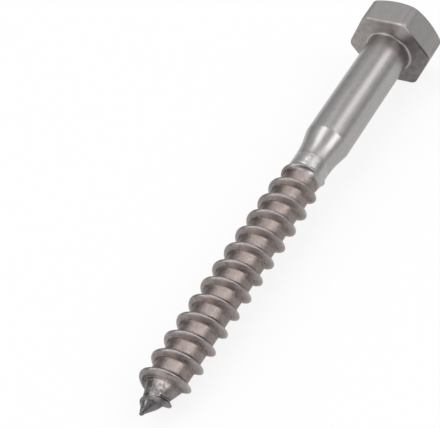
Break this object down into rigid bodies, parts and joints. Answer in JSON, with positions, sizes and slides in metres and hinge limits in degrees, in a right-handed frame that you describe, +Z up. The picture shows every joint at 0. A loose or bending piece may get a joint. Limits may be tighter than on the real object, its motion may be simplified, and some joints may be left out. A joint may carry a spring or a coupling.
{
  "type": "lag screw",
  "caption": "Hexagon-head lag screw with a plain shank, a stepped-down neck, a coarse wood thread and a gimlet point.",
  "frame": {"origin": "centre of the bearing face under the head, on the screw's axis", "axes": "+X towards the point seen from above, +Z up, with the screw lying at rest on one flat of its head and on its thread near the point, so its axis falls 2.24 degrees towards the point"},
  "size_m": [0.1069, 0.0196, 0.0172],
  "materials": {
    "stainless_steel": "satin, as rolled and headed"
  },
  "bodies": {
    "root": {"lag_screw": "stainless_steel"}
  },
  "joints": []
}
